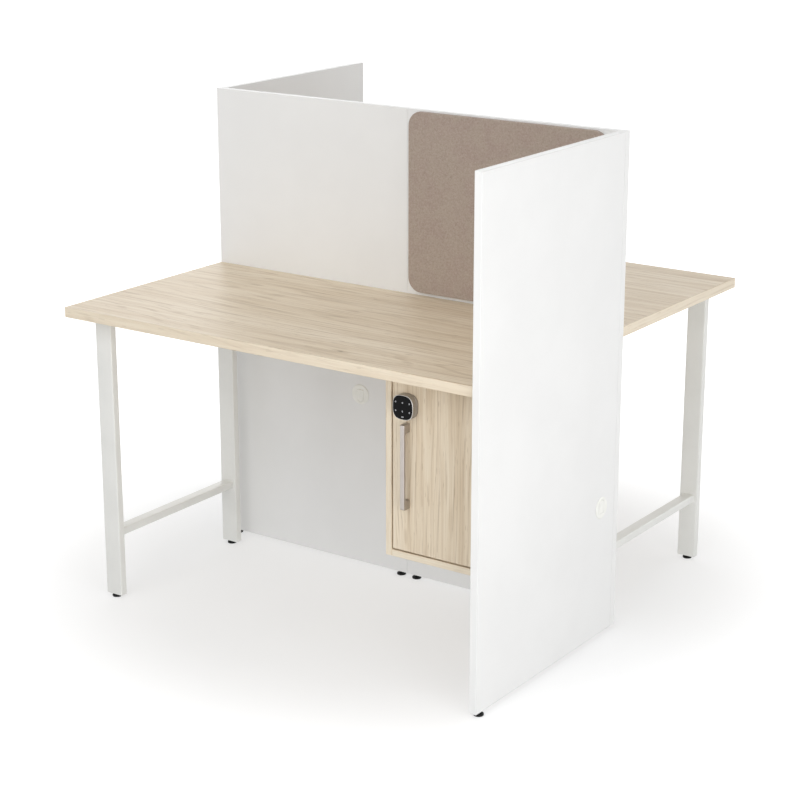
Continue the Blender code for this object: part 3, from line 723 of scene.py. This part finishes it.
# ---------------------------------------------------------------- cable grommets
DESK_GROMMET = (-0.146, -0.0095, 0.471)
LOCKER_GROMMET = (0.600, -0.072, 0.335)
FLANGE = 0.0265              # radius
SLEEVE = 0.0227              # outer radius
BORE = 0.0205                # radius
PROUD = 0.0020               # of the board's face
DISH = 0.0165                # radius of the flat middle
BOARD = 0.019
TONGUE_WIDTH = 0.0186
TONGUE_ABOVE = 0.0125        # straight end, from the grommet's centre
TONGUE_BELOW = 0.0194        # rounded end
TONGUE_THICKNESS = 0.0015
SLOT = 0.0009                # gap round the tongue


def tongue_outline(grow):
    """U-shaped tongue: straight end up, round end down."""
    half_width = TONGUE_WIDTH / 2 + grow
    low = -TONGUE_BELOW - grow
    top = TONGUE_ABOVE + grow
    corner = 0.0012
    points = arc((half_width - corner, top - corner), corner, 0, 90, 4)
    points += arc((-half_width + corner, top - corner), corner, 90, 180, 4)
    return points + arc((0, low + half_width), half_width, 180, 360, 40)


def grommet(side, where, place, turn):
    """Cable grommet: turned ring with a shallow dish, and the snap-out tongue."""
    matrix = Matrix.Translation(place) @ turn
    back = PROUD - 0.0022
    end = -BOARD + 0.0010
    profile = [(0, PROUD - 0.0004), (DISH, PROUD - 0.0004), (DISH + 0.0040, PROUD - 0.0001),
               (DISH + 0.0057, PROUD), (FLANGE - 0.0022, PROUD - 0.0001),
               (FLANGE - 0.0012, PROUD - 0.0004), (FLANGE - 0.0004, PROUD - 0.0010),
               (FLANGE, FIT + 0.0005), (FLANGE - 0.0002, FIT), (SLEEVE, FIT), (SLEEVE, end + 0.0006),
               (SLEEVE - 0.0006, end), (BORE, end), (BORE, back), (0, back)]
    ring = solid(f"grommet_{side}_{where}_collar", turned(profile, 96), white_moulding)
    outline = tongue_outline(SLOT)
    cutter = layered([[(x, y, z) for x, y in outline] for z in (-0.01, 0.01)])
    combined(ring, solid("slot", cutter, white_moulding), "DIFFERENCE")
    ring = bevelled(ring, 0.0002, 2, 50)
    ring.data.transform(matrix)
    smoothed(ring)
    install(ring, side, "carrel", "white_plastic", f"grommet_{side}_{where}_ring")

    top = PROUD - 0.0003
    soft = 0.0003
    layers = []
    bottom = top - TONGUE_THICKNESS
    for inset, height in ((soft, bottom), (0, bottom + soft), (0, top - soft),
                          (soft * 0.3, top - soft * 0.3), (soft, top), (0.0030, top),
                          (0.0036, top - 0.0002)):
        layers.append([(x, y, height) for x, y in tongue_outline(-inset)])
    tongue = solid(f"grommet_{side}_{where}_flap", layered(layers), white_moulding, matrix)
    install(tongue, side, f"tongue_{where}_{side}", "white_plastic", f"grommet_{side}_{where}_tongue")


# ---------------------------------------------------------------- locker hardware
DOOR_FACE = -0.502
HARDWARE_X = 0.3433
LOCK_Z = 0.6525
LOCK_WIDTH = 0.0543
LOCK_HEIGHT = 0.0573
BASE_DEPTH = 0.0065
GROOVE = 0.0012              # between the base and the knob
KNOB_DEPTH = 0.0150
GLASS_RIM = 0.0011
GLASS_DEPTH = 0.0022
GLASS_PROUD = 0.0006
SPINDLE = 0.0044             # radius
SPINDLE_BORE = 0.0048        # radius of its hole in the base
SPINDLE_BEHIND = 0.0220      # its reach behind the door's face
DOT = 0.0038                 # printed number place
DOT_SPACING = 0.0185
DOT_ROWS = (0.0112, -0.0088)
LAMP_BAR = (0.0066, 0.0024)
LAMP_BAR_Z = -0.0216


def slab(rows):
    """Squircle solid from (inset, height) rows."""
    layers = []
    for inset, height in rows:
        outline = squircle(LOCK_WIDTH - 2 * inset, LOCK_HEIGHT - 2 * inset)
        layers.append([(x, y, height) for x, y in outline])
    return layered(layers)


def round_over(inset, top, radius):
    """Rows that round a slab's upper edge."""
    steps = 5
    rows = []
    for step in range(steps + 1):
        angle = math.pi / 2 * step / steps
        rows.append((inset + radius * (1 - math.cos(angle)), top - radius + radius * math.sin(angle)))
    return rows


def keypad_lock(side):
    """Keypad lock: base on the door, turning knob with a thin rim and black glass face."""
    matrix = Matrix.Translation((HARDWARE_X, DOOR_FACE, LOCK_Z)) @ FACING_FRONT
    name = f"locker_{side}_lock"
    base_top = BASE_DEPTH + FIT
    base_rows = [(0.0012, FIT), (0.0006, FIT + 0.0006)] + round_over(0.0006, base_top, 0.0007)
    base_rows += [(0.0040, base_top)]
    base = solid(name + "_rose", slab(base_rows), nickel_round, matrix)
    bore = turned([(0, -0.002), (SPINDLE_BORE, -0.002), (SPINDLE_BORE, 0.010), (0, 0.010)], 48)
    combined(base, solid("bore", bore, nickel_round, matrix), "DIFFERENCE")
    smoothed(base)
    install(base, side, f"door_{side}", "satin_nickel", name + "_base")

    back = base_top + GROOVE
    face = back + KNOB_DEPTH
    knob_rows = [(0.0060, back), (0.0012, back), (0.0003, back + 0.0004), (0.0, back + 0.0012)]
    knob_rows += round_over(0.0, face, 0.0008)
    knob_rows += [(GLASS_RIM, face), (GLASS_RIM, face - GLASS_DEPTH + GLASS_PROUD),
                  (0.0080, face - 0.0016)]
    knob = solid(name + "_turn_knob", slab(knob_rows), nickel_round)
    knob.data.materials.append(rim_metal)
    for polygon in knob.data.polygons:
        if polygon.center.z > face - 0.0006 and polygon.normal.z > 0.05:
            polygon.material_index = 1
    rod_end = back + 0.002
    rod = turned([(0, -SPINDLE_BEHIND), (SPINDLE - 0.0006, -SPINDLE_BEHIND),
                  (SPINDLE, 0.0006 - SPINDLE_BEHIND), (SPINDLE, rod_end), (0, rod_end)], 48)
    joined(knob, solid("spindle", rod, nickel_round))
    knob.data.transform(matrix)
    install(knob, side, f"knob_{side}", "satin_nickel", name + "_knob")

    glass_base = face - GLASS_DEPTH + GLASS_PROUD + FIT
    glass_top = glass_base + GLASS_DEPTH - FIT
    edge = GLASS_RIM + FIT
    rows = [(edge, glass_base)] + round_over(edge, glass_top, 0.0006)
    # The glass is very slightly domed.
    rows += [(0.0060, glass_top + 0.00005), (0.0150, glass_top + 0.00012),
             (0.0240, glass_top + 0.00015)]
    pane = solid(name + "_glass", slab(rows), keypad_glass, matrix)
    install(pane, side, f"knob_{side}", "keypad_glass", name + "_keypad")

    marks = []
    for z in DOT_ROWS:
        for x in (-DOT_SPACING, 0.0, DOT_SPACING):
            marks.append((x, z, rounded_rectangle(DOT, DOT, 0.00189, 8)))
    marks.append((0.0, LAMP_BAR_Z, rounded_rectangle(*LAMP_BAR, 0.0010, 6)))
    prints = []
    for x, z, outline in marks:
        layers = [[(x + across * scale, z + up * scale, glass_top + rise) for across, up in outline]
                  for scale, rise in ((1.0, -0.0004), (1.0, 0.00016), (0.9, 0.00022))]
        prints.append(solid(name + "_dots", layered(layers), print_white, matrix))
    dots = joined(prints[0], *prints[1:])
    install(dots, side, f"knob_{side}", "keypad_glass")


HANDLE_X = HARDWARE_X - 0.0016
HANDLE_BOTTOM = 0.4100
HANDLE_TOP = 0.6115
HANDLE_WIDTH = 0.0114
HANDLE_STANDOFF = 0.0228
HANDLE_BAR = 0.0055          # thickness
HANDLE_LEG = 0.0210
HANDLE_OUTER_BEND = 0.0045
HANDLE_INNER_BEND = 0.0060


def handle(side):
    """Strap handle: a flat satin bar bent back to the door at both ends."""
    length = HANDLE_TOP - HANDLE_BOTTOM
    outer = HANDLE_OUTER_BEND
    inner = HANDLE_INNER_BEND
    bar = HANDLE_STANDOFF - HANDLE_BAR
    outline = [(FIT, 0)]
    outline += arc((HANDLE_STANDOFF - outer, outer), outer, 270, 360, 12)
    outline += arc((HANDLE_STANDOFF - outer, length - outer), outer, 0, 90, 12)
    outline += [(FIT, length), (FIT, length - HANDLE_LEG)]
    outline += arc((bar - inner, length - HANDLE_LEG - inner), inner, 90, 0, 12)
    outline += arc((bar - inner, HANDLE_LEG + inner), inner, 0, -90, 12)
    outline += [(FIT, HANDLE_LEG)]
    half = HANDLE_WIDTH / 2
    shape = layered([[(x, -out, up) for out, up in outline] for x in (-half, half)])
    place = Matrix.Translation((HANDLE_X, DOOR_FACE, HANDLE_BOTTOM))
    item = solid(f"locker_{side}_pull", shape, nickel, place)
    smoothed(bevelled(item, 0.0008, 3, 40), 40)
    install(item, side, f"door_{side}", "satin_nickel", f"locker_{side}_handle")


# ---------------------------------------------------------------- screws, hinges and rails
WING_PLATE = 0.0024          # thickness
RAIL_STEEL = 0.0025
RAIL_SCREWS = 5              # in each leg of the angle


def block(name, low, high, edge):
    """Zinc box with rounded edges."""
    return bevelled(solid(name, box_shape(low, high), zinc), edge)


def make_screw_head():
    """Pan head with a cross recess, seated at the origin and facing +Z."""
    profile = [(0, 0), (0.0036, 0), (0.0036, 0.0005), (0.0034, 0.0009), (0.0029, 0.0013),
               (0.0021, 0.0016), (0.0010, 0.0018), (0, 0.0018)]
    head = solid("screw_head", turned(profile, 32), zinc)
    for turn in (0, math.pi / 2):
        slot = box_shape((-0.0020, -0.0004, 0.0008), (0.0020, 0.0004, 0.0030))
        combined(head, solid("recess", slot, zinc, Matrix.Rotation(turn, 4, "Z")), "DIFFERENCE")
    return head


screw_head = make_screw_head()


def screw(place, facing, size=1.0):
    """A screw head seated at a place and facing out of it."""
    item = bpy.data.objects.new("screw", screw_head.data.copy())
    item.data.transform(Matrix.Translation(place) @ facing @ Matrix.Scale(size, 4))
    bpy.context.scene.collection.objects.link(item)
    return item


def hinge_arm(side, end):
    """Pressed channel on a screwed wing plate, with two links reaching to the door's cup."""
    low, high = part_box(f"locker_front_hinge_{end}_arm")
    name = f"locker_{side}_hinge_{end}_channel"
    z = (low.z + high.z) / 2
    plate_face = high.x - 0.0065
    plate_y = high.y - 0.025
    arm_face = low.x + 0.017
    wing_face = high.x - WING_PLATE
    groove_face = arm_face + 0.0012
    body = block(name, (plate_face, high.y - 0.050, low.z), high, 0.0012)
    wings = block(name, (wing_face, plate_y - 0.010, z - 0.024),
                  (high.x, plate_y + 0.010, z + 0.024), 0.0009)
    channel = block(name, (arm_face, low.y, z - 0.0055),
                    (plate_face + 0.001, high.y - 0.004, z + 0.0055), 0.0014)
    groove = block(name, (arm_face - 0.002, low.y + 0.008, z - 0.0028),
                   (groove_face, high.y - 0.012, z + 0.0028), 0.0008)
    combined(channel, groove, "DIFFERENCE")
    links = []
    for link_z in (z - 0.0040, z + 0.0026):
        links.append(block(name, (low.x, low.y + 0.0006, link_z),
                           (arm_face + 0.003, low.y + 0.0054, link_z + 0.0014), 0.0005))
    pin_profile = [(0, -0.0044), (0.0013, -0.0044), (0.0015, -0.0041), (0.0015, 0.0041),
                   (0.0013, 0.0044), (0, 0.0044)]
    pins = [solid(name, turned(pin_profile, 24), zinc, Matrix.Translation((x, low.y + 0.003, z)))
            for x in (low.x + 0.003, arm_face - 0.002)]
    screws = [screw((wing_face, plate_y, z + offset), FACING_LEFT)
              for offset in (-0.0165, 0.0165)]
    screws += [screw((groove_face, y, z), FACING_LEFT, 0.72)
               for y in (plate_y - 0.022, plate_y + 0.008)]
    joined(body, wings, channel, *links, *pins, *screws)
    install(body, side, "carrel", "zinc_steel", f"locker_{side}_hinge_{end}_arm")


def hinge_cup(side, end):
    """Pressed cup in the door's back with a screwed wing flange."""
    low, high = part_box(f"locker_front_hinge_{end}_cup")
    name = f"locker_{side}_hinge_{end}_pan"
    centre = Vector(((low.x + high.x) / 2, high.y - 0.0010, (low.z + high.z) / 2))
    radius = (high.x - low.x) / 2 - 0.0022
    depth = high.y - low.y - 0.0010
    inside = radius - 0.0012
    flange = radius + 0.0022
    profile = [(0, 0.0012 - depth), (inside - 0.0015, 0.0012 - depth), (inside, 0.0027 - depth),
               (inside, 0.0006), (inside + 0.0004, 0.0010), (flange - 0.0006, 0.0010),
               (flange, 0.0007), (flange, FIT), (radius, FIT), (radius, 0.0012 - depth),
               (radius - 0.0010, -depth), (0, -depth)]
    pan = solid(name, turned(profile, 64), zinc)
    outline = rounded_rectangle(0.015, 0.056, 0.006, 8)
    wing = solid(name, layered([[(x - 0.006, y, z) for x, y in outline] for z in (FIT, 0.0013)]), zinc)
    opening = solid(name, turned([(0, -0.01), (inside, -0.01), (inside, 0.01), (0, 0.01)], 64), zinc)
    combined(wing, opening, "DIFFERENCE")
    bevelled(wing, 0.0003, 2)
    joined(pan, wing)
    pan.data.transform(Matrix.Translation(centre) @ FACING_BACK)
    joined(pan, *[screw(centre + Vector((-0.006, 0.0013, offset)), FACING_BACK)
                  for offset in (-0.0225, 0.0225)])
    install(pan, side, f"door_{side}", "zinc_steel", f"locker_{side}_hinge_{end}_cup")


def cam_screw(side):
    """Screw that holds the cam on the spindle's end."""
    cam_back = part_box("locker_front_lock_cam")[1].y
    item = screw((HARDWARE_X, cam_back, LOCK_Z), FACING_BACK, 1.35)
    item.name = f"locker_{side}_cam_screw"
    install(item, side, f"knob_{side}", "zinc_steel")


def rail_screws(side):
    """Screws through the steel angle into the worktop and the divider."""
    low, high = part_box("worktop_rail_front")
    screws = []
    for number in range(RAIL_SCREWS):
        x = low.x + 0.040 + (high.x - low.x - 0.080) * number / (RAIL_SCREWS - 1)
        screws.append(screw((x, low.y + 0.011, high.z - RAIL_STEEL), FACING_DOWN))
        screws.append(screw((x + 0.020, high.y - RAIL_STEEL, low.z + 0.011), FACING_FRONT))
    item = joined(*screws)
    item.name = f"worktop_rail_{side}_screws"
    install(item, side, "carrel", "zinc_steel")


for side in SIDES:
    pinboard(side)
    leg_frame(side)
    grommet(side, "desk", DESK_GROMMET, FACING_FRONT)
    grommet(side, "locker", LOCKER_GROMMET, FACING_OUT)
    keypad_lock(side)
    handle(side)
    for where in ("outer_leg", "inner_leg", "divider_end", "divider_middle", "side_panel"):
        foot(f"foot_{side}_{where}", f"foot_{side}_{where}_screw")
    for end in ("bottom", "top"):
        hinge_arm(side, end)
        hinge_cup(side, end)
    cam_screw(side)
    rail_screws(side)
    for node in (f"worktop_rail_{side}", f"locker_{side}_lock_cam"):
        dress(node, zinc)
bpy.data.objects.remove(screw_head, do_unlink=True)


# ---------------------------------------------------------------- floor, lights and camera
FLOOR_TONE = (188, 188, 188)
FLOOR_TONE_LIGHT = (191, 191, 191)
PAINTED_SHADE_GLOW_NEAR = 0.46             # glow of the floor under the object, dimmed there as painted shade of the object
GLOW_FAR = 0.92              # of the floor and the dome away from it
GLOW_RADII = (0.6, 1.5)      # where the one passes into the other
SKY_GLOW = 0.50              # light from all round, above the horizon
FLOOR_BOUNCE = 0.56          # and below it


def studio_sweep():
    """Pale floor running up into a white dome.

    It glows like a lit paper sweep; close to the object the glow is weaker, a painted shade
    of the object on the floor.  Only the camera and the reflections see it: the object's soft
    light comes from the world and the lights.
    """
    look = Look("studio_sweep", roughness=0.85, Specular_IOR_Level=0.1)
    cloud = look.noise(look.place, 1.5, 3.0)
    base = look.mix(look.span(cloud, 0.3, 0.7), colour(*FLOOR_TONE), colour(*FLOOR_TONE_LIGHT))
    axes = look.split(look.place)
    squares = [look.math("MULTIPLY", axis, axis) for axis in (axes[0], axes[1])]
    away = look.math("SQRT", look.math("ADD", *squares))
    look.shader.inputs["Emission Color"].default_value = (1, 1, 1, 1)
    # Painted shade: the floor's glow drops near the object, standing in for the object's shadow on it.
    glow_with_painted_shade = look.span(away, *GLOW_RADII, PAINTED_SHADE_GLOW_NEAR, GLOW_FAR)
    look.put(glow_with_painted_shade, look.shader.inputs["Emission Strength"])
    profile = [(0, 0), (1, 0), (3, 0), (18, 0), (21, 0.5), (23.5, 2.2), (24.8, 6), (24, 12), (20, 18),
               (12, 23), (0, 25)]
    sweep = solid("studio_sweep", turned(profile, 96), look.finish(base))
    sweep.visible_diffuse = False
    sweep.visible_shadow = False


def studio_world():
    """Soft light from all round, with its own strength from above and from the floor's side."""
    world = bpy.data.worlds.new("studio")
    world.use_nodes = True
    tree = world.node_tree
    source = tree.nodes.new("ShaderNodeTexCoord")
    split = tree.nodes.new("ShaderNodeSeparateXYZ")
    fade = tree.nodes.new("ShaderNodeMapRange")
    fade.interpolation_type = "SMOOTHSTEP"
    for socket, value in (("From Min", -0.1), ("From Max", 0.1), ("To Min", FLOOR_BOUNCE),
                          ("To Max", SKY_GLOW)):
        fade.inputs[socket].default_value = value
    background = tree.nodes["Background"]
    background.inputs["Color"].default_value = (1, 1, 1, 1)
    tree.links.new(source.outputs["Generated"], split.inputs[0])
    tree.links.new(split.outputs["Z"], fade.inputs["Value"])
    tree.links.new(fade.outputs["Result"], background.inputs["Strength"])
    bpy.context.scene.world = world


def soft_light(name, place, target, size, energy):
    """Rectangular area light, hidden from the camera."""
    light = bpy.data.lights.new(name, "AREA")
    light.shape = "RECTANGLE"
    light.size = size[0]
    light.size_y = size[1]
    light.energy = energy
    item = bpy.data.objects.new(name, light)
    bpy.context.scene.collection.objects.link(item)
    item.location = place
    item.rotation_euler = (Vector(target) - Vector(place)).to_track_quat("-Z", "Y").to_euler()
    item.visible_camera = False


studio_sweep()
studio_world()
soft_light("key", (2.6, -1.6, 0.80), (0.6, -0.3, 0.65), (1.6, 0.9), 27)
soft_light("front_high", (0.0, -3.6, 3.0), (-0.1, 0.0, 0.9), (2.6, 1.8), 31)
soft_light("front_right", (1.6, -5.2, 1.5), (0.0, 0.0, 0.6), (3.5, 2.4), 35)
soft_light("rear_left", (-3.6, 3.8, 2.0), (0.0, 0.0, 0.6), (3.5, 2.4), 24)
soft_light("rear_right", (3.6, 4.2, 2.0), (0.0, 0.0, 0.6), (3.5, 2.4), 30)
soft_light("top", (0.0, 0.0, 5.0), (0.0, 0.0, 0.0), (4.0, 4.0), 29)
bpy.context.scene.view_settings.view_transform = "Standard"

camera_data = bpy.data.cameras.new("camera")
camera_data.lens = CAMERA_LENS
camera_data.sensor_width = CAMERA_SENSOR
camera_data.clip_end = 60.0
camera = bpy.data.objects.new("camera", camera_data)
bpy.context.scene.collection.objects.link(camera)
camera.location = CAMERA_PLACE
camera.rotation_euler = (math.radians(90 - CAMERA_TILT), 0, math.radians(CAMERA_BEARING))
bpy.context.scene.camera = camera
